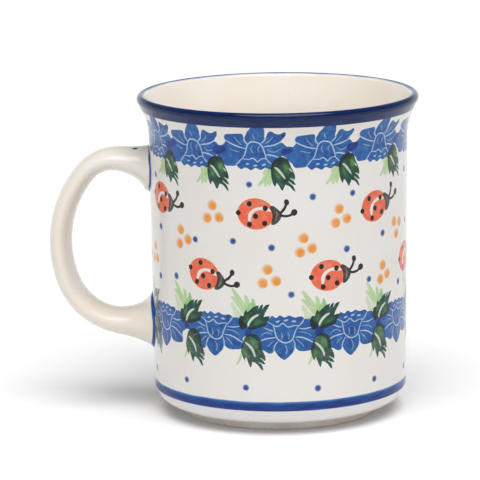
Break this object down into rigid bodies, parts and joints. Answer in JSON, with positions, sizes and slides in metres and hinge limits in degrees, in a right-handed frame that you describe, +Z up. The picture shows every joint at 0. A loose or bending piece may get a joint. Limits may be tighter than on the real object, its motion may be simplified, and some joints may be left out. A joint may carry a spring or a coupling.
{
  "type": "stoneware mug",
  "caption": "Flared stoneware mug with a loop handle, a bare foot ring, a cobalt rim and stamped underglaze flowers, ladybirds and dots.",
  "frame": {"origin": "centre of the foot ring, on the plane that the mug stands on", "axes": "+Z up the cup's axis, -X towards the handle, +Y square to both"},
  "size_m": [0.118, 0.089, 0.102],
  "materials": {
    "bare_stoneware": "bare fired stoneware, sponged smooth",
    "slip": "fired joining slip",
    "wall_glaze": "clear gloss glaze over stamped pigments",
    "cobalt_glaze": "cobalt banding under gloss glaze",
    "cream_glaze": "cream gloss glaze"
  },
  "bodies": {
    "root": {"cup_body": "bare_stoneware", "handle": "bare_stoneware", "upper_slip_joint": "slip", "lower_slip_joint": "slip", "wall_glaze": "wall_glaze", "rim_glaze": "cobalt_glaze", "inside_glaze": "cream_glaze", "base_band_glaze": "cobalt_glaze", "heel_glaze": "wall_glaze", "underside_glaze": "cream_glaze", "handle_glaze": "wall_glaze"}
  },
  "joints": []
}
